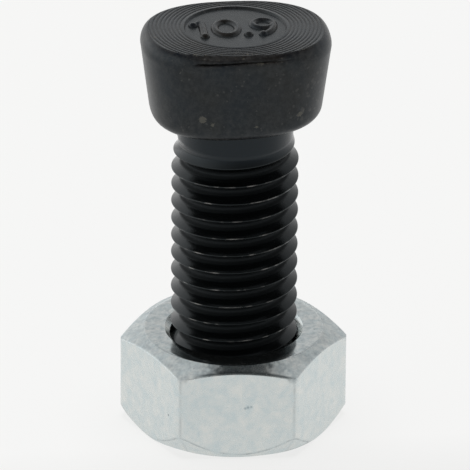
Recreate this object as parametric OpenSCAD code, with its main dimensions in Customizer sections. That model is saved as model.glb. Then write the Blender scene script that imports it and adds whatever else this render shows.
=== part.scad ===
// Plow bolt: tapered oval head, plain neck, coarse right-hand thread, and its hexagon nut.
// The set stands on the nut. The origin is the middle of the nut's lower face, +Z runs up the bolt,
// and the head's long sides look along +Y and -Y.

/* [Bolt] */
// Length of the bolt from its top face to its tip
bolt_l = 39.4; // [34:0.1:60]
// How far the tip stays above the nut's lower face
tip_inset = 0.2; // [0:0.1:2]
// Diameter of the plain neck under the head
neck_d = 10.8; // [10.4:0.1:11.4]
// Length of the plain neck, from the head's underside to the thread
neck_l = 3; // [1.5:0.1:6]
// Radius in the corner between the neck and the head
neck_fillet = 0.6; // [0.2:0.1:1]

/* [Head] */
// Height of the head, from its underside to its top face
head_h = 8.3; // [6.5:0.1:11]
// Widest diameter of the head, just below its rounded top edge
head_d = 17.6; // [16.5:0.1:21]
// Diameter at which the tapered side ends in the lower rim
head_base_d = 16; // [14.6:0.1:16.4]
// Radius of the rounded top edge
head_edge = 1.2; // [0.6:0.1:1.8]
// Radius of the lower rim
base_edge = 1.2; // [0.4:0.1:1.6]
// Width of the head across its two long sides
head_w = 14.2; // [13.2:0.1:15.6]
// Radius of each long side, seen from above
side_r = 14.5; // [12:0.5:40]
// Radius that blends each long side into the round ends
side_blend = 4; // [1:0.1:5]
// Radius of the edges along the top and the foot of each long side
side_edge = 0.8; // [0.3:0.05:0.9]
// Diameter of the sunk disc in the top face
disc_d = 9.5; // [7:0.1:10.5]
// Depth of the sunk disc
disc_depth = 0.2; // [0.1:0.05:0.5]
// How far the disc lies off the bolt's axis, towards +Y
disc_offset = 0.5; // [0:0.1:0.8]

/* [Thread] */
// Diameter over the thread's crests
crest_d = 11.84; // [11.6:0.02:12.2]
// Height of one turn of the thread
pitch = 1.75; // [1.5:0.05:2]
// Angle round the axis at which the thread starts at the tip
thread_start = 180; // [0:5:355]

/* [Nut] */
// Distance across the nut's flats
nut_af = 18.7; // [18:0.1:20]
// Diameter over the nut's rounded corners
nut_corner_d = 21.26; // [20:0.02:21.6]
// Height of the nut
nut_h = 9.2; // [7:0.1:12]
// Angle of the nut on the thread, away from having two flats in line with the head's long sides
nut_turn = -4.5; // [-30:0.5:30]
// Diameter of the flat ring on the nut's top face
nut_top_d = 16.8; // [15.5:0.1:17.8]
// Slope of the top bevel across the corners
nut_top_slope = 25; // [15:1:40]
// Diameter of the flat ring on the nut's lower face
nut_base_d = 18.5; // [16:0.1:18.6]
// Slope of the lower bevel across the corners
nut_base_slope = 38; // [15:1:45]
// Width of the countersink at each end of the nut's bore
sink_w = 0.5; // [0.3:0.05:0.9]
// Radial clearance between the nut's bore and the thread's crests
bore_clear = 0.1; // [0.05:0.01:0.15]

/* [Hidden] */
$fn = 96;

// A cutting shape reaches this far past the face that it opens
over = 1;

// Heights of the bolt's levels
tip_z = tip_inset;
top_z = tip_z + bolt_l;
head_z = top_z - head_h;
neck_z = head_z - neck_l;

// Standard 60 degree thread form: its depth and flats follow the pitch
thread_depth = 0.6134 * pitch;
crest_flat = pitch / 8;
root_flat = pitch / 4;
flank = (pitch - crest_flat - root_flat) / 2;
crest_r = crest_d / 2;
root_r = crest_r - thread_depth;

// The threaded length has a core that runs up through the neck into the head, a hair inside the neck
core_inset = 0.03;
core_r = neck_d / 2 - core_inset;
core_top_z = head_z + over;

// The thread is laid out in straight steps along the helix. It rises over the first steps
// and runs out over the last ones, just above the neck's lower end.
turn_steps = 36;
lead_steps = turn_steps / 3;
fade_steps = turn_steps * 3 / 4;
last_step = floor(turn_steps * (neck_z - tip_z) / pitch - fade_steps);

// One turn's outline: height above the turn's start, and share of the thread's depth
turn_rows = [[0, 0], [flank, 1], [flank + crest_flat, 1], [2 * flank + crest_flat, 0]];
row_n = len(turn_rows);

bore_r = crest_r + bore_clear;

// How far the middle of each long side's round lies beyond the axis
side_centre = side_r - head_w / 2;

function polar(r, step, z) =
    let (a = thread_start + 360 * step / turn_steps)
    [r * cos(a), r * sin(a), z];

// Radius on the thread: it rises from nothing behind the 45 degree bevel of the tip,
// and runs out into the core
function thread_r(step, share, z) =
    let (lead = min(1, step / lead_steps),
         fade = max(0, min(1, (last_step - step) / fade_steps)),
         rise = lead * min(share * thread_depth, z - tip_z))
    core_r + (root_r + rise - core_r) * fade;

function thread_point(step, row) =
    let (z = tip_z + root_flat + pitch * step / turn_steps + turn_rows[row][0])
    polar(thread_r(step, turn_rows[row][1], z), step, z);

// Every step has row_n points. Past the last step only the first row goes on, for one more turn.
function point_no(step, row) =
    row == row_n ? point_no(step + turn_steps, 0)
    : step <= last_step ? step * row_n + row
    : (last_step + 1) * row_n + step - last_step - 1;

module threaded_core() {
    thread_points = [for (step = [0:last_step], row = [0:row_n - 1]) thread_point(step, row)];
    end_points = [for (step = [last_step + 1:last_step + turn_steps]) thread_point(step, 0)];
    tip_points = [for (i = [0:turn_steps - 1]) polar(root_r, i, tip_z)];
    cap_points = [for (i = [0:turn_steps - 1]) polar(core_r, last_step + i, core_top_z)];
    tip_no = len(thread_points) + len(end_points);
    cap_no = tip_no + turn_steps;
    // Surface of the helix, two triangles to a field
    helix = [for (step = [0:last_step - 1], row = [0:row_n - 1])
             let (a = point_no(step, row), b = point_no(step + 1, row),
                  c = point_no(step + 1, row + 1), d = point_no(step, row + 1))
             each [[a, d, c], [a, c, b]]];
    // Below the first turn and above the last one the core is a plain round, closed at the helix's ends
    tip_wall = [for (i = [0:turn_steps - 2])
                [tip_no + i, point_no(i, 0), point_no(i + 1, 0), tip_no + i + 1]];
    tip_end = [tip_no + turn_steps - 1, point_no(turn_steps - 1, 0),
               for (row = [row_n:-1:0]) point_no(0, row), tip_no];
    cap_wall = [for (i = [1:turn_steps - 1])
                let (step = last_step + i)
                [point_no(step, 0), cap_no + i, cap_no + (i + 1) % turn_steps, point_no(step + 1, 0)]];
    cap_end = [cap_no + 1, point_no(last_step + 1, 0),
               for (row = [0:row_n]) point_no(last_step, row), cap_no];
    tip_face = [for (i = [0:turn_steps - 1]) tip_no + i];
    cap_face = [for (i = [turn_steps - 1:-1:0]) cap_no + i];
    polyhedron(concat(thread_points, end_points, tip_points, cap_points),
               concat(helix, tip_wall, [tip_end], cap_wall, [cap_end], [tip_face, cap_face]));
}

function along(a) = [cos(a), sin(a)];

// Direction of the line that touches two circles on their +X side, the second below the first
function touch_angle(c1, r1, c2, r2) =
    let (d = c2 - c1)
    atan2(d[1], d[0]) + acos((r1 - r2) / norm(d));

module head_and_neck_profile() {
    upper = [head_d / 2 - head_edge, top_z - head_edge];
    lower = [head_base_d / 2 - base_edge, head_z + base_edge];
    side = along(touch_angle(upper, head_edge, lower, base_edge));
    polygon([[0, head_z], [lower[0], head_z], lower + base_edge * side, upper + head_edge * side,
             [upper[0], top_z], [0, top_z]]);
    translate(upper) circle(head_edge);
    translate(lower) circle(base_edge);
    translate([0, neck_z]) square([neck_d / 2, neck_l + over]);
    difference() {
        translate([0, head_z - neck_fillet]) square(neck_d / 2 + neck_fillet);
        translate([neck_d / 2 + neck_fillet, head_z - neck_fillet]) circle(neck_fillet);
    }
}

// Large round body that leaves one long side of the head, with its edges, and the neck standing.
// sy is 1 for the side towards +Y and -1 for the other.
module side_body(sy) {
    neck_reach = side_centre + neck_d / 2 + neck_fillet + over / 10;
    inner_r = side_r - side_edge;
    translate([0, -sy * side_centre]) rotate_extrude() {
        polygon([[0, tip_z], [neck_reach, tip_z], [neck_reach, head_z], [inner_r, head_z],
                 [side_r, head_z + side_edge], [side_r, top_z - side_edge], [inner_r, top_z], [0, top_z]]);
        translate([inner_r, head_z + side_edge]) circle(side_edge);
        translate([inner_r, top_z - side_edge]) circle(side_edge);
    }
}

// Upright body a little outside the round ends and the long sides.
// It runs from one to the other through a blend.
module blended_outline() {
    outer_r = head_d / 2 + over / 10;
    wide_r = side_r + over / 10;
    end_sq = pow(outer_r - side_blend, 2);
    side_sq = pow(wide_r - side_blend, 2);
    y = (side_sq - end_sq - pow(side_centre, 2)) / (2 * side_centre);
    x = sqrt(end_sq - y * y);
    end_reach = 2 * outer_r / norm([x, y]);
    side_reach = 2 * wide_r / norm([x, y + side_centre]);
    foot_x = x * side_centre / (y + side_centre);
    far_x = side_reach * x;
    far_y = side_reach * (y + side_centre) - side_centre;
    translate([0, 0, tip_z]) linear_extrude(bolt_l + over) for (s = [-1, 1]) {
        for (sx = [-1, 1]) translate([sx * x, s * y]) circle(side_blend);
        intersection() {
            circle(outer_r);
            polygon([[0, 0], end_reach * [s * x, y], end_reach * [s * x, -y]]);
        }
        intersection() {
            translate([0, -s * side_centre]) circle(wide_r);
            polygon([[-foot_x, 0], [foot_x, 0], [far_x, s * far_y], [-far_x, s * far_y]]);
        }
    }
}

module bolt() {
    color("#26282a") {
        difference() {
            intersection() {
                rotate_extrude() head_and_neck_profile();
                side_body(1);
                side_body(-1);
                blended_outline();
            }
            translate([0, disc_offset, top_z - disc_depth]) cylinder(d = disc_d, h = disc_depth + over);
        }
        threaded_core();
    }
}

module nut_profile() {
    corner_r = nut_corner_d / 2;
    base_drop = (corner_r - nut_base_d / 2) * tan(nut_base_slope);
    top_drop = (corner_r - nut_top_d / 2) * tan(nut_top_slope);
    polygon([[0, 0], [nut_base_d / 2, 0], [corner_r, base_drop], [corner_r, nut_h - top_drop],
             [nut_top_d / 2, nut_h], [0, nut_h]]);
}

module nut_bore() {
    mouth_r = bore_r + sink_w + over;
    rotate_extrude()
        polygon([[0, -over], [mouth_r, -over], [bore_r, sink_w], [bore_r, nut_h - sink_w],
                 [mouth_r, nut_h + over], [0, nut_h + over]]);
}

module hex_nut() {
    color("#b9c0c2") rotate(nut_turn) difference() {
        intersection() {
            cylinder(d = nut_af / cos(30), h = nut_h, $fn = 6);
            rotate_extrude() nut_profile();
        }
        nut_bore();
    }
}

bolt();
hex_nut();
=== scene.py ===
import math

import bpy
import numpy as np
from mathutils import Matrix, Vector


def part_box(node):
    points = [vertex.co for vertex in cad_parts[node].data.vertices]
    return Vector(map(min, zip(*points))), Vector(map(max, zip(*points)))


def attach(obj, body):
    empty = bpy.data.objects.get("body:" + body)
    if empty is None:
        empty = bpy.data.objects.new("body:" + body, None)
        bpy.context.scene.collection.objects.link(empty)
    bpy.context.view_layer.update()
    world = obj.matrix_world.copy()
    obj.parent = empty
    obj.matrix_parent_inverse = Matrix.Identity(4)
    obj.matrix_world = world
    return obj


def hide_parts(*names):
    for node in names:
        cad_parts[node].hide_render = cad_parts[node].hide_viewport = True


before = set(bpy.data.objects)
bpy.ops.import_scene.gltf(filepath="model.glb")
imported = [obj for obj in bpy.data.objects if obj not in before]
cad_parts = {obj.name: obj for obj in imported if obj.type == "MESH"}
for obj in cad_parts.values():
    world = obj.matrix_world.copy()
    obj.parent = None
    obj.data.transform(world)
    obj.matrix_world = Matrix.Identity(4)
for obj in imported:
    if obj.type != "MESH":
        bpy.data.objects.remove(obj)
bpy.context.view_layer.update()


# Bolt
# One piece of alloy steel: cold forged tapered oval head, plain neck and rolled thread.
# It is hardened, blackened and oiled, and it stands upright in its nut.
mm = 0.001
tip_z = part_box("bolt")[0].z
top_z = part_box("bolt")[1].z
head_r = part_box("bolt")[1].x
flat_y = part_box("bolt")[1].y
head_z = top_z - 8.3 * mm
neck_z = head_z - 3 * mm
neck_r = 5.4 * mm
weld = 0.001 * mm


def arc(centre, radii, start, end, steps):
    """Points of a round stretch of an outline, from one angle to another in degrees."""
    angles = np.radians(np.linspace(start, end, steps + 1))
    return [(centre[0] + radii[0] * math.cos(a), centre[1] + radii[1] * math.sin(a)) for a in angles]


def straight(start, end, steps):
    """Points of a straight stretch, with its first point left out."""
    return [tuple(np.array(start) + (np.array(end) - start) * i / steps) for i in range(1, steps + 1)]


def drawn(name, outline):
    """A line through points of (radius, height), drawn in the upright plane by extruding one corner."""
    bpy.ops.object.select_all(action="DESELECT")
    bpy.ops.mesh.primitive_plane_add(size=mm)
    piece = bpy.context.object
    piece.name = name
    bpy.ops.object.mode_set(mode="EDIT")
    bpy.ops.mesh.select_all(action="SELECT")
    bpy.ops.mesh.merge(type="CENTER")
    bpy.ops.transform.translate(value=(outline[0][0], 0, outline[0][1]))
    for here, there in zip(outline, outline[1:]):
        step = (there[0] - here[0], 0, there[1] - here[1])
        bpy.ops.mesh.extrude_region_move(TRANSFORM_OT_translate={"value": step})
    bpy.ops.object.mode_set(mode="OBJECT")
    return piece


def turned(name, outline, steps):
    """A body of revolution: the outline spun once round the upright axis and closed."""
    piece = drawn(name, outline)
    bpy.ops.object.mode_set(mode="EDIT")
    bpy.ops.mesh.select_all(action="SELECT")
    bpy.ops.mesh.spin(steps=steps, angle=2 * math.pi, center=(0, 0, 0), axis=(0, 0, 1))
    bpy.ops.mesh.select_all(action="SELECT")
    bpy.ops.mesh.remove_doubles(threshold=weld)
    bpy.ops.mesh.normals_make_consistent(inside=False)
    bpy.ops.object.mode_set(mode="OBJECT")
    return piece


def points_of(piece):
    """The piece's points as rows of x, y, z."""
    flat = np.zeros(len(piece.data.vertices) * 3)
    piece.data.vertices.foreach_get("co", flat)
    return flat.reshape(-1, 3)


def move_points(piece, points):
    """Puts the piece's points where the rows say."""
    piece.data.vertices.foreach_set("co", points.ravel())
    piece.data.update()


def rounded_press(proud, soft):
    """How far to press points that stand proud of a surface, with a rounded transition as wide as soft."""
    rounded = (proud + soft) ** 2 / (4 * soft)
    return np.where(proud > soft, proud, np.where(proud > -soft, rounded, 0))


def soft_cut(points, normal, distance, soft):
    """Presses points back to a plane, with a rounded edge."""
    normal = np.array(normal) / np.linalg.norm(normal)
    return points - rounded_press(points @ normal - distance, soft)[:, None] * normal


def finished(piece, kind, **settings):
    """Adds a modifier with its settings and applies it."""
    modifier = piece.modifiers.new(kind.lower(), kind)
    for name, value in settings.items():
        setattr(modifier, name, value)
    bpy.ops.object.select_all(action="DESELECT")
    bpy.context.view_layer.objects.active = piece
    piece.select_set(True)
    bpy.ops.object.modifier_apply(modifier=modifier.name)


# Head and neck: flat top, rounded top edge, tapered ends, rounded lower rim, fillet and neck
edge_w = 0.9 * mm
edge_h = 1.3 * mm
rim_r = 1.2 * mm
rim_lift = 0.05 * mm
base_r = 8.0 * mm
fillet_r = 0.6 * mm
spare = 0.02 * mm
neck_end_z = neck_z + 0.8 * mm
neck_root = 0.9 * mm
round_steps = 288
wall_top_z = top_z - edge_h
wall_base_z = head_z + rim_r + rim_lift
taper = math.degrees(math.atan((head_r - base_r) / (wall_top_z - wall_base_z)))
top_middle = (0, top_z + spare)
edge = arc((head_r - edge_w, wall_top_z), (edge_w, edge_h + spare), 90, 0, 48)
rim = arc((base_r - rim_r, wall_base_z), (rim_r, rim_r), -taper, -90, 14)
outline = [top_middle] + straight(top_middle, edge[0], 12) + edge[1:]
outline += straight(outline[-1], rim[0], 24) + rim[1:]
outline += arc((neck_r + fillet_r, head_z + rim_lift - fillet_r), (fillet_r, fillet_r), 90, 180, 8)
outline += straight(outline[-1], (neck_r, neck_end_z), 8)
outline += [(neck_r - neck_root, neck_end_z - neck_root), (0, neck_end_z - neck_root)]
bolt = turned("bolt_blackened", outline, round_steps)

# The head is pressed to an oval: its ends keep the taper, its sides stand upright and nearly flat
oval_power = 2.45
press_from = 0.7
press_w = 0.2
points = points_of(bolt)
radius = np.hypot(points[:, 0], points[:, 1])
end_r = np.interp(points[:, 2], [wall_base_z, wall_top_z], [base_r, head_r])
across = np.abs(points[:, 0]) / np.maximum(radius, spare) / end_r
along = np.abs(points[:, 1]) / np.maximum(radius, spare) / flat_y
oval_r = np.maximum(across ** oval_power + along ** oval_power, 1) ** (-1 / oval_power)
pressed = np.clip((radius / end_r - press_from) / press_w, 0, 1) * (points[:, 2] > head_z - spare)
points[:, :2] *= (1 + (oval_r / end_r - 1) * pressed)[:, None]

# The lower rim is forged a little out of level, and the top slopes off along the front
rim_tilt = (math.tan(math.radians(1.7)), math.tan(math.radians(1.5)))
low = np.clip((wall_top_z - points[:, 2]) / (wall_top_z - head_z), 0, 1)
points[:, 2] += points[:, :2] @ rim_tilt * low * (radius > neck_r + fillet_r)
slope = math.radians(17)
slope_turn = math.radians(-7)
slope_y = 6.05 * mm
slope_soft = 0.03 * mm
facing = np.array((math.sin(slope_turn), -math.cos(slope_turn), 0))
slope_normal = facing * math.sin(slope) + np.array((0, 0, math.cos(slope)))
slope_edge = facing * slope_y + (0, 0, top_z)
points = soft_cut(points, slope_normal, slope_normal @ slope_edge, slope_soft)

# A fold in the steel runs along the foot of that slope, low and deep on the left and closing to the right
fold_x = np.array((-4.6, 0, 5)) * mm
fold_z = top_z - np.interp(points[:, 0], fold_x, (0.72 * mm, 0.52 * mm, 0.52 * mm))
fold_w = np.interp(points[:, 0], fold_x, (0.14 * mm, 0.11 * mm, 0.07 * mm))
fold_d = np.interp(points[:, 0], [-4.6 * mm, -4 * mm, 0.5 * mm, 5 * mm], [0, 0.3 * mm, 0.2 * mm, 0])
front_y = -4 * mm
in_fold = np.clip(1 - np.abs(points[:, 2] - fold_z) / fold_w, 0, 1) * (points[:, 1] < front_y)
points[:, 1] += fold_d * in_fold
move_points(bolt, points)

# Die marks in the top: a sunk disc for the number and fine rings round it, off the axis
disc_r = 4.75 * mm
disc_depth = 0.2 * mm
disc_wall = 0.12 * mm
disc_offset = 0.5 * mm
ring_pitch = 0.36 * mm
ring_depth = 0.045 * mm
ring_n = 9
die_r = 11 * mm
die_top_z = top_z + 1 * mm
outline = [(0, top_z - disc_depth), (disc_r - disc_wall, top_z - disc_depth), (disc_r, top_z)]
for ring in range(1, ring_n + 1):
    r = disc_r + ring * ring_pitch
    outline += [(r - ring_pitch / 3, top_z), (r, top_z - ring_depth), (r + ring_pitch / 3, top_z)]
outline += [(die_r, top_z), (die_r, die_top_z), (0, die_top_z)]
die = turned("die", outline, round_steps)
points = points_of(die)
points[:, 1] += disc_offset
move_points(die, points)
finished(bolt, "BOOLEAN", operation="DIFFERENCE", object=die, solver="EXACT")
bpy.data.objects.remove(die)

# The disc's floor is made one face again
for face in bolt.data.polygons:
    face.select = abs(face.center.z - top_z + disc_depth) < weld and face.normal.z > 0.99
bpy.ops.object.mode_set(mode="EDIT")
bpy.ops.mesh.select_mode(type="FACE")
bpy.ops.mesh.dissolve_faces()
bpy.ops.mesh.select_mode(type="VERT")
bpy.ops.object.mode_set(mode="OBJECT")

# Thread: one pitch of the rolled form, round at its crest and root, wound up as a right-hand helix
# that starts about two turns too low and is cut off at the tip
pitch = 1.75 * mm
crest_r = 5.92 * mm
crest_round = (0.08 * mm, 0.08 * mm)
root_round = (0.28 * mm, 0.28 * mm)
root_r = crest_r + crest_round[0] + root_round[0] - pitch * math.cos(math.radians(30))
crest_z = 0.419 * mm - 2 * pitch
turn_steps = 72
turn_n = 21
form = arc((root_r + root_round[0], crest_z - pitch / 2), root_round, 180, 120, 4)
form += arc((crest_r - crest_round[0], crest_z), crest_round, -60, 60, 6)
form += arc((root_r + root_round[0], crest_z + pitch / 2), root_round, 240, 180, 4)
thread = drawn("thread", form)
finished(thread, "SCREW", axis="Z", angle=2 * math.pi, screw_offset=pitch, iterations=turn_n,
         steps=turn_steps, render_steps=turn_steps)

# It runs out into the neck and starts behind a 45 degree bevel at the tip
fade_z = neck_end_z - 0.1 * mm
fade_h = 1.3 * pitch
hair = 0.01 * mm
core_r = neck_r - hair
core_top_z = neck_z + 1.5 * mm
points = points_of(thread)
radius = np.hypot(points[:, 0], points[:, 1])
fade = np.clip((fade_z - points[:, 2]) / fade_h, 0, 1)
shaped = core_r + (radius - core_r) * fade
shaped = np.minimum(shaped, root_r + np.maximum(points[:, 2] - tip_z, 0))
points[:, :2] *= (shaped / radius)[:, None]
move_points(thread, points)
bpy.ops.object.mode_set(mode="EDIT")
bpy.ops.mesh.select_all(action="SELECT")
bpy.ops.mesh.remove_doubles(threshold=weld)
for height, keeps_below in ((tip_z, False), (core_top_z, True)):
    bpy.ops.mesh.select_all(action="SELECT")
    bpy.ops.mesh.bisect(plane_co=(0, 0, height), plane_no=(0, 0, 1), use_fill=True,
                        clear_outer=keeps_below, clear_inner=not keeps_below, threshold=weld / 10)
bpy.ops.mesh.select_all(action="SELECT")
bpy.ops.mesh.normals_make_consistent(inside=False)
bpy.ops.object.mode_set(mode="OBJECT")
finished(bolt, "BOOLEAN", operation="UNION", object=thread, solver="EXACT")
bpy.data.objects.remove(thread)

# Strength number raised from the sunk disc: round beads with balls at their ends, softened by the die
stroke_r = 0.42 * mm
ball_r = 0.48 * mm
bead_sink = 0.12 * mm
bead_grain = 0.06 * mm
one = straight((-4 * mm, 0.8 * mm), (-3 * mm, 1.6 * mm), 6)
one += straight((-3 * mm, 1.6 * mm), (-3 * mm, -1.7 * mm), 16)
nought = arc((-0.85 * mm, 0), (1.05 * mm, 1.6 * mm), 0, 360, 40)
dot = (1.05 * mm, -1.6 * mm)
nine = arc((2.65 * mm, 0.7 * mm), (0.95 * mm, 0.95 * mm), 0, 360, 32)
nine += arc((2.1 * mm, 0.7 * mm), (1.5 * mm, 2.35 * mm), 0, -78, 14)[1:]
beads = []
for stroke in (one, nought, nine):
    drawn("bead", stroke)
    bpy.ops.object.convert(target="CURVE")
    bead = bpy.context.object
    bead.data.bevel_depth = stroke_r
    bead.data.bevel_resolution = 3
    bead.data.use_fill_caps = True
    bpy.ops.object.convert(target="MESH")
    beads.append(bpy.context.object)
for x, y in (one[0], one[-1], nine[-1], dot):
    bpy.ops.object.select_all(action="DESELECT")
    bpy.ops.mesh.primitive_uv_sphere_add(segments=24, ring_count=16, radius=ball_r, location=(x, 0, y))
    bpy.ops.object.transform_apply(location=True, rotation=True, scale=True)
    beads.append(bpy.context.object)
for bead in beads:
    bead.select_set(True)
bpy.ops.object.join()
number = bpy.context.object

# The number was drawn upright, so it is laid down on the disc
points = points_of(number)
bead_z = top_z - disc_depth - bead_sink
move_points(number, np.column_stack((points[:, 0], points[:, 2] + disc_offset, bead_z - points[:, 1])))
finished(number, "REMESH", mode="VOXEL", voxel_size=bead_grain)
finished(number, "SMOOTH", factor=0.5, iterations=3)
finished(bolt, "BOOLEAN", operation="UNION", object=number, solver="EXACT")
bpy.data.objects.remove(number)
bpy.ops.object.shade_smooth_by_angle(angle=math.radians(40))


def linear(colour):
    """Linear colour of an sRGB hex value."""
    parts = [int(colour[i:i + 2], 16) / 255 for i in (1, 3, 5)]
    return [c / 12.92 if c <= 0.04045 else ((c + 0.055) / 1.055) ** 2.4 for c in parts] + [1]


def add_node(tree, kind, links, **settings):
    """Adds a node: links maps its sockets to values or to other nodes' outputs, settings are its options."""
    made = tree.nodes.new(kind)
    for name, value in settings.items():
        setattr(made, name, value)
    for socket, value in links.items():
        if isinstance(value, bpy.types.NodeSocket):
            tree.links.new(value, made.inputs[socket])
        else:
            made.inputs[socket].default_value = value
    return made


def new_material(name):
    """An empty material with its output and shader."""
    material = bpy.data.materials.new(name)
    material.use_nodes = True
    return material, material.node_tree, material.node_tree.nodes["Principled BSDF"]


# Black oxide on hardened steel, dipped and oiled: near black with a soft gloss, bluish and brownish
# in patches, dusty on top and round the rim, with painted top light on the top face, mottled with pale
# scale, and rubbed to bare steel along the thread's crests
black, tree, shader = new_material("black_oxide_steel_oiled")
place = add_node(tree, "ShaderNodeTexCoord", {}).outputs["Object"]
height = add_node(tree, "ShaderNodeSeparateXYZ", {"Vector": place}).outputs["Z"]
on_neck = add_node(tree, "ShaderNodeMapRange", {"Value": height, "From Min": neck_z - 0.3 * mm,
                                                "From Max": neck_z + 0.3 * mm}).outputs["Result"]
on_head = add_node(tree, "ShaderNodeMapRange", {"Value": height, "From Min": head_z - 0.4 * mm,
                                                "From Max": head_z + 0.3 * mm}).outputs["Result"]
upright = add_node(tree, "ShaderNodeNewGeometry", {}).outputs["Normal"]
upright = add_node(tree, "ShaderNodeSeparateXYZ", {"Vector": upright}).outputs["Z"]
on_top = add_node(tree, "ShaderNodeMapRange", {"Value": upright, "From Min": 0.965,
                                               "From Max": 0.99}).outputs["Result"]

# Colour of the oxide: dark on the thread, bluish on the neck, bluish to brownish in patches on the head
patches = add_node(tree, "ShaderNodeTexNoise", {"Vector": place, "Scale": 1 / (5 * mm), "Detail": 3})
tint = add_node(tree, "ShaderNodeValToRGB", {"Fac": patches.outputs["Fac"]})
tint.color_ramp.elements[0].position = 0.38
tint.color_ramp.elements[0].color = linear("#060c14")
tint.color_ramp.elements[1].position = 0.64
tint.color_ramp.elements[1].color = linear("#15100b")
neck = add_node(tree, "ShaderNodeMix", {0: on_head, 6: linear("#02060d"), 7: tint.outputs["Color"]},
                data_type="RGBA")
oxide = add_node(tree, "ShaderNodeMix", {0: on_neck, 6: linear("#040505"), 7: neck.outputs[2]},
                 data_type="RGBA")

# Dust and scale: more below the top edge and towards the lower rim
mottle = add_node(tree, "ShaderNodeTexNoise", {"Vector": place, "Scale": 1 / (0.6 * mm), "Detail": 7,
                                               "Roughness": 0.8})
flecks = add_node(tree, "ShaderNodeMapRange", {"Value": mottle.outputs["Fac"], "From Min": 0.42,
                                               "From Max": 0.62})
level = add_node(tree, "ShaderNodeMapRange", {"Value": height, "From Min": head_z, "From Max": top_z})
dust = add_node(tree, "ShaderNodeValToRGB", {"Fac": level.outputs["Result"]})
dust.color_ramp.elements[0].color = (0.8, 0.8, 0.8, 1)
dust.color_ramp.elements[1].color = (0.6, 0.6, 0.6, 1)
for share, grey in ((0.14, 0.75), (0.4, 0.55), (0.75, 0.55), (0.92, 0.7)):
    dust.color_ramp.elements.new(share).color = (grey, grey, grey, 1)
amount = add_node(tree, "ShaderNodeMath", {0: dust.outputs["Color"], 1: flecks.outputs["Result"]},
                  operation="MULTIPLY")
amount = add_node(tree, "ShaderNodeMath", {0: amount.outputs[0], 1: on_head}, operation="MULTIPLY")
dusted = add_node(tree, "ShaderNodeMix", {0: amount.outputs[0], 6: oxide.outputs[2], 7: linear("#2e2d2c")},
                  data_type="RGBA")
# Painted top light: an even pale tone, lightly mottled, painted on the upward-facing top face, so the ring
# grooves and slopes stay darker
top_light_and_floor_film = add_node(tree, "ShaderNodeMath", {0: flecks.outputs["Result"], 1: 0.25, 2: 0.7},
                operation="MULTIPLY_ADD")
top_light_and_floor_film = add_node(tree, "ShaderNodeMath", {0: top_light_and_floor_film.outputs[0], 1: on_top}, operation="MULTIPLY")
top_lit = add_node(tree, "ShaderNodeMix", {0: top_light_and_floor_film.outputs[0], 6: dusted.outputs[2], 7: linear("#2c2f31")},
                  data_type="RGBA")

# Pale specks of scale of uneven size on the head's side, most of them low on the right
speck_shift = (0.6 * mm, 0.6 * mm, 0.6 * mm)
shift = add_node(tree, "ShaderNodeVectorMath", {0: mottle.outputs["Color"], 1: (0.5, 0.5, 0.5)},
                 operation="SUBTRACT")
ragged = add_node(tree, "ShaderNodeVectorMath", {0: shift.outputs[0], 1: speck_shift, 2: place},
                  operation="MULTIPLY_ADD").outputs[0]
spots = add_node(tree, "ShaderNodeTexVoronoi", {"Vector": ragged, "Scale": 1 / (0.6 * mm)})
area = add_node(tree, "ShaderNodeTexNoise", {"Vector": place, "Scale": 1 / (2.5 * mm), "Detail": 2})
low_right = add_node(tree, "ShaderNodeVectorMath", {0: place, 1: (1, 0, -1)},
                     operation="DOT_PRODUCT").outputs["Value"]
thick = add_node(tree, "ShaderNodeMapRange", {"Value": low_right, "From Min": 4 * mm - top_z,
                                              "From Max": 12 * mm - top_z, "To Min": 0.5, "To Max": 1})
reach = add_node(tree, "ShaderNodeMapRange", {"Value": area.outputs["Fac"], "From Min": 0.3,
                                              "From Max": 0.75, "To Min": 0, "To Max": 0.5})
reach = add_node(tree, "ShaderNodeMath", {0: reach.outputs["Result"], 1: thick.outputs["Result"]},
                 operation="MULTIPLY")
speck = add_node(tree, "ShaderNodeMath", {0: spots.outputs["Distance"], 1: reach.outputs[0]},
                 operation="LESS_THAN")
speck = add_node(tree, "ShaderNodeMath", {0: speck.outputs[0], 1: on_head}, operation="MULTIPLY")
speck = add_node(tree, "ShaderNodeMath", {0: speck.outputs[0], 1: 0.5}, operation="MULTIPLY")
speckled = add_node(tree, "ShaderNodeMix", {0: speck.outputs[0], 6: top_lit.outputs[2], 7: linear("#42403d")},
                    data_type="RGBA")

# Chips along the front of the top edge
chips = add_node(tree, "ShaderNodeTexNoise", {"Vector": place, "Scale": 1 / (0.4 * mm), "Detail": 5})
chipped = add_node(tree, "ShaderNodeMapRange", {"Value": chips.outputs["Fac"], "From Min": 0.62,
                                                "From Max": 0.7})
forward = add_node(tree, "ShaderNodeVectorMath", {0: place, 1: tuple(facing)},
                   operation="DOT_PRODUCT").outputs["Value"]
at_front = add_node(tree, "ShaderNodeMapRange", {"Value": forward, "From Min": slope_y - 0.2 * mm,
                                                 "From Max": slope_y})
near_edge = add_node(tree, "ShaderNodeMapRange", {"Value": height, "From Min": top_z - 1.1 * mm,
                                                  "From Max": top_z - 0.6 * mm})
pale = add_node(tree, "ShaderNodeMath", {0: chipped.outputs["Result"], 1: near_edge.outputs["Result"]},
                operation="MULTIPLY")
pale = add_node(tree, "ShaderNodeMath", {0: pale.outputs[0], 1: at_front.outputs["Result"]},
                operation="MULTIPLY")
pale = add_node(tree, "ShaderNodeMath", {0: pale.outputs[0], 1: 0.6}, operation="MULTIPLY")

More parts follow.
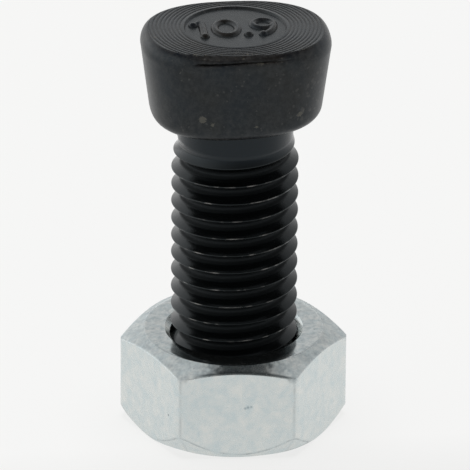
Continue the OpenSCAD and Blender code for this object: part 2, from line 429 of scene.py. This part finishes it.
# Larger nicks with torn outlines: place across and along, depth below the top and radius, in millimetres
nicks = ((-3.8, -6.6, 6.05, 0.26), (-2.9, -6.82, 6.5, 0.2), (1, -7.05, 6.75, 0.18), (5.3, -5.95, 6.15, 0.24),
         (-7.6, -1.2, 0, 0.15), (-2, -5.75, 0, 0.15), (-4.5, -5.45, 0.05, 0.16), (-4.2, -5.6, 0.1, 0.14),
         (0.4, -6, 0, 0.13), (0.8, -6, 0.05, 0.12), (1.2, -6, 0, 0.1), (5.5, -5.3, 0.12, 0.17),
         (6, -5, 0.2, 0.15), (6.3, -4.9, 0.35, 0.13))
nick_shift = (1.6 * mm, 1.6 * mm, 1.6 * mm)
torn = add_node(tree, "ShaderNodeVectorMath", {0: shift.outputs[0], 1: nick_shift, 2: place},
                operation="MULTIPLY_ADD").outputs[0]
for x, y, depth, size in nicks:
    away = add_node(tree, "ShaderNodeVectorMath", {0: torn, 1: (x * mm, y * mm, top_z - depth * mm)},
                    operation="DISTANCE").outputs["Value"]
    nick = add_node(tree, "ShaderNodeMath", {0: away, 1: size * mm}, operation="LESS_THAN")
    pale = add_node(tree, "ShaderNodeMath", {0: pale.outputs[0], 1: nick.outputs[0]}, operation="MAXIMUM")
nicked = add_node(tree, "ShaderNodeMix", {0: pale.outputs[0], 6: speckled.outputs[2], 7: linear("#4a473f")},
                  data_type="RGBA")

# Bare steel where the thread's crests are rubbed
flattened = add_node(tree, "ShaderNodeVectorMath", {0: place, 1: (1, 1, 0)}, operation="MULTIPLY")
from_axis = add_node(tree, "ShaderNodeVectorMath", {0: flattened.outputs[0]},
                     operation="LENGTH").outputs["Value"]
crest = add_node(tree, "ShaderNodeMapRange", {"Value": from_axis, "From Min": crest_r - 0.05 * mm,
                                              "From Max": crest_r - 0.01 * mm})
rubs = add_node(tree, "ShaderNodeTexNoise", {"Vector": place, "Scale": 1 / (1.2 * mm), "Detail": 5})
rubbed_crests_and_edge_shade = add_node(tree, "ShaderNodeMapRange", {"Value": rubs.outputs["Fac"], "From Min": 0.5,
                                               "From Max": 0.66})
bare = add_node(tree, "ShaderNodeMath", {0: crest.outputs["Result"], 1: rubbed_crests_and_edge_shade.outputs["Result"]},
                operation="MULTIPLY")
below_neck = add_node(tree, "ShaderNodeMath", {0: 1, 1: on_neck}, operation="SUBTRACT")
bare = add_node(tree, "ShaderNodeMath", {0: bare.outputs[0], 1: below_neck.outputs[0]}, operation="MULTIPLY")
colour = add_node(tree, "ShaderNodeMix", {0: bare.outputs[0], 6: nicked.outputs[2], 7: linear("#737270")},
                  data_type="RGBA")
tree.links.new(colour.outputs[2], shader.inputs["Base Color"])
tree.links.new(bare.outputs[0], shader.inputs["Metallic"])

# Gloss: oiled thread with dull dirt in its roots, duller head, and a fine grain all over
grain = add_node(tree, "ShaderNodeTexNoise", {"Vector": place, "Scale": 1 / (0.35 * mm), "Detail": 4})
gloss = add_node(tree, "ShaderNodeMapRange", {"Value": grain.outputs["Fac"], "To Min": 0.06, "To Max": 0.14})
dirt = add_node(tree, "ShaderNodeMapRange", {"Value": from_axis, "From Min": root_r + 0.5 * mm,
                                             "From Max": root_r + 0.25 * mm, "To Min": 0, "To Max": 0.6})
dirt = add_node(tree, "ShaderNodeMath", {0: dirt.outputs["Result"], 1: below_neck.outputs[0]},
                operation="MULTIPLY")
dull = add_node(tree, "ShaderNodeMath", {0: on_neck, 1: 0.08, 2: gloss.outputs["Result"]},
                operation="MULTIPLY_ADD")
dull = add_node(tree, "ShaderNodeMath", {0: on_head, 1: 0.17, 2: dull.outputs[0]}, operation="MULTIPLY_ADD")
dull = add_node(tree, "ShaderNodeMath", {0: on_top, 1: -0.08, 2: dull.outputs[0]}, operation="MULTIPLY_ADD")
dull = add_node(tree, "ShaderNodeMath", {0: dull.outputs[0], 1: dirt.outputs[0]}, operation="ADD")
tree.links.new(dull.outputs[0], shader.inputs["Roughness"])
relief = add_node(tree, "ShaderNodeBump", {"Height": mottle.outputs["Fac"], "Strength": 0.35,
                                           "Distance": 0.03 * mm})
tree.links.new(relief.outputs["Normal"], shader.inputs["Normal"])
shader.inputs["Specular IOR Level"].default_value = 0.33
shader.inputs["Specular Tint"].default_value = linear("#e9f8ff")
bolt.data.materials.clear()
bolt.data.materials.append(black)
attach(bolt, "bolt")
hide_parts("bolt")


# Nut
# Hexagon nut of mild steel: cold formed blank with turned bevels, tapped through and bright zinc plated.
# It is screwed onto the end of the bolt, and the set stands on its lower face.
nut_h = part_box("hex_nut")[1].z
nut_turn = -4.5
nut_half = 9.35 * mm
nut_corner_r = 10.63 * mm
top_ring_r = 8.4 * mm
top_slope = 25
base_ring_r = 9.25 * mm
base_slope = 38
bore_r = 6.0 * mm
sink_r = 6.5 * mm
groove_d = 0.35 * mm
hex_soft = 0.24 * mm
top_drop = (nut_corner_r - top_ring_r) * math.tan(math.radians(top_slope))
base_drop = (nut_corner_r - base_ring_r) * math.tan(math.radians(base_slope))
close_z = base_drop + 1.4 * mm

# The blank is turned, with its points close together along both bevels and just above the lower one
start = (bore_r, sink_r - bore_r)
outline = [start] + straight(start, (sink_r, 0), 6) + straight((sink_r, 0), (base_ring_r, 0), 12)
outline += straight(outline[-1], (nut_corner_r, base_drop), 36)
outline += straight(outline[-1], (nut_corner_r, close_z), 30)
outline += straight(outline[-1], (nut_corner_r, nut_h - top_drop), 10)
outline += straight(outline[-1], (top_ring_r, nut_h), 50)
outline += straight(outline[-1], (sink_r, nut_h), 8)
outline += straight(outline[-1], (bore_r, nut_h - sink_r + bore_r), 6)
outline += straight(outline[-1], start, 70)
nut = turned("nut_zinc_plated", outline, 320)

# Six flats with soft corners
blank = points_of(nut)
points = blank
for face in range(6):
    angle = math.radians(nut_turn - 90 + 60 * face)
    points = soft_cut(points, (math.cos(angle), math.sin(angle), 0), nut_half, hex_soft)

# The lower bevel was cut off centre, so it reaches highest on the two front corners
bevel_r = 9.85 * mm
bevel_slope = math.radians(53)
bevel_centre = np.array((0.23 * mm, 0.79 * mm))
bevel_soft = 0.03 * mm
from_centre = points[:, :2] - bevel_centre
reach = np.linalg.norm(from_centre, axis=1)
proud = (reach - bevel_r) * math.sin(bevel_slope) - points[:, 2] * math.cos(bevel_slope)
press = rounded_press(proud, bevel_soft)
points[:, :2] -= (press * math.sin(bevel_slope) / reach)[:, None] * from_centre
points[:, 2] += press * math.cos(bevel_slope)

# Inner thread
radius = np.hypot(points[:, 0], points[:, 1])
lead = points[:, 2] / pitch - np.arctan2(points[:, 1], points[:, 0]) / (2 * math.pi)
wave = np.abs((lead % 1) * 2 - 1)
inside = radius < bore_r + hair
points[:, :2] *= np.where(inside, 1 + wave * groove_d / bore_r, 1)[:, None]
move_points(nut, points)
bpy.ops.object.shade_smooth_by_angle(angle=math.radians(30))

# The top bevel was turned before plating, so it is less smooth: each point keeps how far it lies on it
blank_r = np.hypot(blank[:, 0], blank[:, 1])
on_bevel = (blank[:, 2] > nut_h - top_drop) & (blank_r > top_ring_r + hair)
moved = np.linalg.norm(points - blank, axis=1)
lathe = nut.data.attributes.new("turned", "FLOAT", "POINT")
lathe.data.foreach_set("value", on_bevel * np.clip(1 - moved / hex_soft, 0, 1))

# A painted shade line runs along the front edge of that bevel: each point keeps how near it lies to it
shade_line_inset = 0.12 * mm
shade_line_w = 0.16 * mm
front_turn = math.radians(nut_turn - 90)
gap = blank[:, :2] @ (math.cos(front_turn), math.sin(front_turn)) - nut_half
rubbed_crests_and_edge_shade = nut.data.attributes.new("front_edge_shade", "FLOAT", "POINT")
rubbed_crests_and_edge_shade.data.foreach_set("value", on_bevel * np.exp(-((gap + shade_line_inset) / shade_line_w) ** 2))

# A painted shade line runs along the upper edge of the lower bevel: each point keeps how near it lies to
# that edge
edge_shade_w = 0.06 * mm
edge_shade = nut.data.attributes.new("edge_shade_lines", "FLOAT", "POINT")
edge_shade.data.foreach_set("value", np.exp(-(proud / edge_shade_w) ** 2) * (points[:, 2] < nut_h / 2))

# Bright zinc plate over cold formed steel: pale bluish silver with a satin gloss and small dark nicks
zinc, tree, shader = new_material("zinc_plated_steel_satin")
place = add_node(tree, "ShaderNodeTexCoord", {}).outputs["Object"]
axes = add_node(tree, "ShaderNodeSeparateXYZ", {"Vector": place}).outputs
cloud = add_node(tree, "ShaderNodeTexNoise", {"Vector": place, "Scale": 1 / (1.2 * mm), "Detail": 8,
                                              "Roughness": 0.75})
tint = add_node(tree, "ShaderNodeValToRGB", {"Fac": cloud.outputs["Fac"]})
tint.color_ramp.elements[0].position = 0.35
tint.color_ramp.elements[0].color = linear("#c7d2d4")
tint.color_ramp.elements[1].position = 0.65
tint.color_ramp.elements[1].color = linear("#dddfdc")
spots = add_node(tree, "ShaderNodeTexVoronoi", {"Vector": place, "Scale": 1 / (1.1 * mm)})
area = add_node(tree, "ShaderNodeTexNoise", {"Vector": place, "Scale": 1 / (1.6 * mm), "Detail": 3})
reach = add_node(tree, "ShaderNodeMapRange", {"Value": area.outputs["Fac"], "From Min": 0.55,
                                              "From Max": 0.8, "To Min": 0, "To Max": 0.2})
nick = add_node(tree, "ShaderNodeMath", {0: spots.outputs["Distance"], 1: reach.outputs["Result"]},
                operation="LESS_THAN")
nicked = add_node(tree, "ShaderNodeMix", {0: nick.outputs[0], 6: tint.outputs["Color"],
                                          7: linear("#969ea0")}, data_type="RGBA")

# The plate is mottled on the upper face and bevel
lathe = add_node(tree, "ShaderNodeAttribute", {}, attribute_name="turned").outputs["Fac"]
upper = add_node(tree, "ShaderNodeMath", {0: axes["Z"], 1: nut_h - 0.02 * mm}, operation="GREATER_THAN")
on_upper = add_node(tree, "ShaderNodeMath", {0: upper.outputs[0], 1: lathe}, operation="MAXIMUM")
stain = add_node(tree, "ShaderNodeTexNoise", {"Vector": place, "Scale": 1 / (0.7 * mm), "Detail": 8,
                                              "Roughness": 0.8})
stained = add_node(tree, "ShaderNodeMapRange", {"Value": stain.outputs["Fac"], "From Min": 0.42,
                                                "From Max": 0.66, "To Max": 0.8})
mark = add_node(tree, "ShaderNodeMath", {0: stained.outputs["Result"], 1: on_upper.outputs[0]},
                operation="MULTIPLY")

# The front has a scratch and a nick near its foot: spots with place across, height and radius in millimetres
front_spots = ((0, 5.2, 0.09), (0.25, 5.3, 0.12), (0.55, 5.35, 0.08), (-2, 0.45, 0.14), (-1.75, 0.4, 0.12))
spot_y = -9.4 * mm
spot_soft = 0.1
for x, z, size in front_spots:
    away = add_node(tree, "ShaderNodeVectorMath", {0: place, 1: (x * mm, spot_y, z * mm)},
                    operation="DISTANCE").outputs["Value"]
    spot = add_node(tree, "ShaderNodeMapRange", {"Value": away, "From Min": (size + spot_soft) * mm,
                                                 "From Max": 0}).outputs["Result"]
    mark = add_node(tree, "ShaderNodeMath", {0: mark.outputs[0], 1: spot}, operation="MAXIMUM")
marked = add_node(tree, "ShaderNodeMix", {0: mark.outputs[0], 6: nicked.outputs[2], 7: linear("#94a1a6")},
                  data_type="RGBA")

# Painted shade: greyer lines along the lower bevel's edge and at the six upright corners, broken up by the
# mottle
edge_shade = add_node(tree, "ShaderNodeAttribute", {}, attribute_name="edge_shade_lines").outputs["Fac"]
bearing = add_node(tree, "ShaderNodeMath", {0: axes["Y"], 1: axes["X"]}, operation="ARCTAN2")
bearing = add_node(tree, "ShaderNodeMath", {0: bearing.outputs[0], 1: 4 * math.pi - math.radians(nut_turn)},
                   operation="ADD")
from_corner = add_node(tree, "ShaderNodeMath", {0: bearing.outputs[0], 1: math.radians(60)},
                       operation="MODULO")
from_corner = add_node(tree, "ShaderNodeMath", {0: from_corner.outputs[0], 1: math.radians(30)},
                       operation="PINGPONG")
line_turn = math.radians(1.3)
corner_shade = add_node(tree, "ShaderNodeMapRange", {"Value": from_corner.outputs[0], "From Min": line_turn,
                                               "From Max": 0, "To Max": 0.5})
on_side = add_node(tree, "ShaderNodeMath", {0: axes["Z"], 1: nut_h - 0.9 * mm}, operation="LESS_THAN")
corner_shade = add_node(tree, "ShaderNodeMath", {0: corner_shade.outputs["Result"], 1: on_side.outputs[0]},
                  operation="MULTIPLY")
edge_shade = add_node(tree, "ShaderNodeMath", {0: edge_shade, 1: corner_shade.outputs[0]}, operation="MAXIMUM")
broken_up = add_node(tree, "ShaderNodeMapRange", {"Value": cloud.outputs["Fac"], "From Min": 0.38,
                                             "From Max": 0.6})
edge_shade = add_node(tree, "ShaderNodeMath", {0: edge_shade.outputs[0], 1: broken_up.outputs["Result"]},
                operation="MULTIPLY")
edge_shaded = add_node(tree, "ShaderNodeMix", {0: edge_shade.outputs[0], 6: marked.outputs[2], 7: linear("#9aa3a6")},
                  data_type="RGBA")

# Painted shade: a dark line along the top bevel's front edge, over the middle of the front
side = add_node(tree, "ShaderNodeMath", {0: axes["X"]}, operation="ABSOLUTE")
inward = add_node(tree, "ShaderNodeMapRange", {"Value": side.outputs[0], "From Min": 5 * mm,
                                               "From Max": 3.8 * mm, "To Max": 0.85})
line = add_node(tree, "ShaderNodeAttribute", {}, attribute_name="front_edge_shade").outputs["Fac"]
line = add_node(tree, "ShaderNodeMath", {0: line, 1: inward.outputs["Result"]}, operation="MULTIPLY")
front_shaded = add_node(tree, "ShaderNodeMix", {0: line.outputs[0], 6: edge_shaded.outputs[2], 7: linear("#4a5254")},
                 data_type="RGBA")
tree.links.new(front_shaded.outputs[2], shader.inputs["Base Color"])

# That bevel is burnished along the front, so the dark bolt above shows in it, and coarse elsewhere
middle = add_node(tree, "ShaderNodeMapRange", {"Value": side.outputs[0], "From Min": 4.4 * mm,
                                               "From Max": 1.6 * mm})
patchy = add_node(tree, "ShaderNodeMath", {0: stain.outputs["Fac"], 1: 1.5, 2: middle.outputs["Result"]},
                  operation="MULTIPLY_ADD")
burnish = add_node(tree, "ShaderNodeMapRange", {"Value": patchy.outputs[0], "From Min": 0.9,
                                                "From Max": 1.6})
front = add_node(tree, "ShaderNodeMath", {0: axes["Y"], 1: -7.5 * mm}, operation="LESS_THAN")
high = add_node(tree, "ShaderNodeMath", {0: axes["Z"], 1: nut_h / 2}, operation="GREATER_THAN")
front = add_node(tree, "ShaderNodeMath", {0: front.outputs[0], 1: high.outputs[0]}, operation="MULTIPLY")
burnish = add_node(tree, "ShaderNodeMath", {0: burnish.outputs["Result"], 1: front.outputs[0]},
                   operation="MULTIPLY")
coarse = add_node(tree, "ShaderNodeMath", {0: 1, 1: burnish.outputs[0]}, operation="SUBTRACT")
coarse = add_node(tree, "ShaderNodeMath", {0: coarse.outputs[0], 1: lathe}, operation="MULTIPLY")
metal = add_node(tree, "ShaderNodeMath", {0: coarse.outputs[0], 1: -0.79, 2: 0.99}, operation="MULTIPLY_ADD")
tree.links.new(metal.outputs[0], shader.inputs["Metallic"])

# Gloss: satin with a fine grain, smoother on the upper face and dull on the coarse bevel
grain = add_node(tree, "ShaderNodeTexNoise", {"Vector": place, "Scale": 1 / (0.3 * mm), "Detail": 4})
gloss = add_node(tree, "ShaderNodeMapRange", {"Value": grain.outputs["Fac"], "To Min": 0.22, "To Max": 0.34})
gloss = add_node(tree, "ShaderNodeMath", {0: upper.outputs[0], 1: -0.14, 2: gloss.outputs["Result"]},
                 operation="MULTIPLY_ADD")
gloss = add_node(tree, "ShaderNodeMath", {0: coarse.outputs[0], 1: 0.3, 2: gloss.outputs[0]},
                 operation="MULTIPLY_ADD")
tree.links.new(gloss.outputs[0], shader.inputs["Roughness"])
relief = add_node(tree, "ShaderNodeBump", {"Height": grain.outputs["Fac"], "Strength": 0.05,
                                           "Distance": 0.02 * mm})
tree.links.new(relief.outputs["Normal"], shader.inputs["Normal"])
nut.data.materials.clear()
nut.data.materials.append(zinc)
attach(nut, "nut")
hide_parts("hex_nut")


# Floor
# Sheet of matt white film laid over a light table, on which the set stands.
# It is far larger than the view, so it is also the background.
bpy.ops.object.select_all(action="DESELECT")
bpy.ops.mesh.primitive_plane_add(size=6)
floor = bpy.context.object
floor.name = "film_floor"

# Matt film lit from below: plain white to the eye and in the metal's mirror, a little greyer in front
top_light_and_floor_film, tree, shader = new_material("white_film_matt")
shader.inputs["Base Color"].default_value = linear("#f4f4f4")
shader.inputs["Roughness"].default_value = 0.9
shader.inputs["Specular IOR Level"].default_value = 0
path = add_node(tree, "ShaderNodeLightPath", {}).outputs
seen = add_node(tree, "ShaderNodeMath", {0: path["Is Camera Ray"], 1: path["Is Glossy Ray"]},
                operation="MAXIMUM")
seen = add_node(tree, "ShaderNodeMath", {0: seen.outputs[0], 1: path["Is Transmission Ray"]},
                operation="MAXIMUM")
share = add_node(tree, "ShaderNodeMath", {0: seen.outputs[0], 1: 0.85}, operation="MULTIPLY")
place = add_node(tree, "ShaderNodeTexCoord", {}).outputs["Object"]
depth = add_node(tree, "ShaderNodeSeparateXYZ", {"Vector": place}).outputs["Y"]
falls = add_node(tree, "ShaderNodeMapRange", {"Value": depth, "From Min": -16 * mm, "From Max": -6 * mm,
                                              "To Min": 0.92, "To Max": 1})
glow = add_node(tree, "ShaderNodeEmission", {"Color": linear("#f6f6f5"),
                                             "Strength": falls.outputs["Result"]})
both = add_node(tree, "ShaderNodeMixShader", {"Fac": share.outputs[0], 1: shader.outputs[0],
                                              2: glow.outputs[0]})
tree.links.new(both.outputs[0], tree.nodes["Material Output"].inputs["Surface"])
floor.data.materials.append(top_light_and_floor_film)


# Light
# White walls up to a height all round, brightest on the left and dim behind the camera, a dark ceiling
# with a pale middle, and one soft box straight above.
world = bpy.data.worlds.new("studio")
bpy.context.scene.world = world
world.use_nodes = True
tree = world.node_tree
aim = add_node(tree, "ShaderNodeTexCoord", {}).outputs["Generated"]
aim = add_node(tree, "ShaderNodeSeparateXYZ", {"Vector": aim}).outputs
wall = add_node(tree, "ShaderNodeValToRGB", {"Fac": aim["Z"]})
wall.color_ramp.elements[0].color = (0.88, 0.88, 0.88, 1)
wall.color_ramp.elements[1].color = (0.25, 0.25, 0.25, 1)
for angle, grey in ((40, 0.58), (43, 0.5), (45.5, 0.04), (62, 0.04), (70, 0.25)):
    wall.color_ramp.elements.new(math.sin(math.radians(angle))).color = (grey, grey, grey, 1)
dim = add_node(tree, "ShaderNodeMapRange", {"Value": aim["Y"], "From Min": -0.8, "From Max": -0.1,
                                            "To Min": 0.5, "To Max": 1})
left = add_node(tree, "ShaderNodeMapRange", {"Value": aim["X"], "From Min": -0.7, "From Max": 0,
                                             "To Min": 1.9, "To Max": 1})
level = add_node(tree, "ShaderNodeMath", {0: dim.outputs["Result"], 1: left.outputs["Result"]},
                 operation="MULTIPLY")
tree.links.new(wall.outputs["Color"], tree.nodes["Background"].inputs["Color"])
tree.links.new(level.outputs[0], tree.nodes["Background"].inputs["Strength"])

bpy.ops.object.light_add(type="AREA", location=(0, 0.05, 1.2))
box = bpy.context.object
box.name = "soft_box"
box.data.shape = "SQUARE"
box.data.size = 0.45
box.data.energy = 9
box.visible_glossy = False


# Camera
# Long lens at the height and turn from which the set was photographed.
# Its angles are in degrees, and view_w is the width that it sees at the set's axis.
camera_turn = -7.0
camera_rise = 24.9
camera_roll = 0.45
camera_far = 650 * mm
view_w = 43.87 * mm
target = Vector((0.06 * mm, 0, 18.65 * mm))
turn = math.radians(camera_turn)
rise = math.radians(camera_rise)
back = Vector((math.sin(turn) * math.cos(rise), -math.cos(turn) * math.cos(rise), math.sin(rise)))
bpy.ops.object.camera_add(location=target + back * camera_far)
camera = bpy.context.object
look = (-back).to_track_quat("-Z", "Y").to_matrix().to_4x4()
roll = Matrix.Rotation(math.radians(camera_roll), 4, "Z")
camera.matrix_world = Matrix.Translation(camera.location) @ look @ roll
camera.data.lens = camera.data.sensor_width * camera_far / view_w
camera.data.clip_start = 0.05
bpy.context.scene.camera = camera
bpy.context.scene.view_settings.view_transform = "Standard"
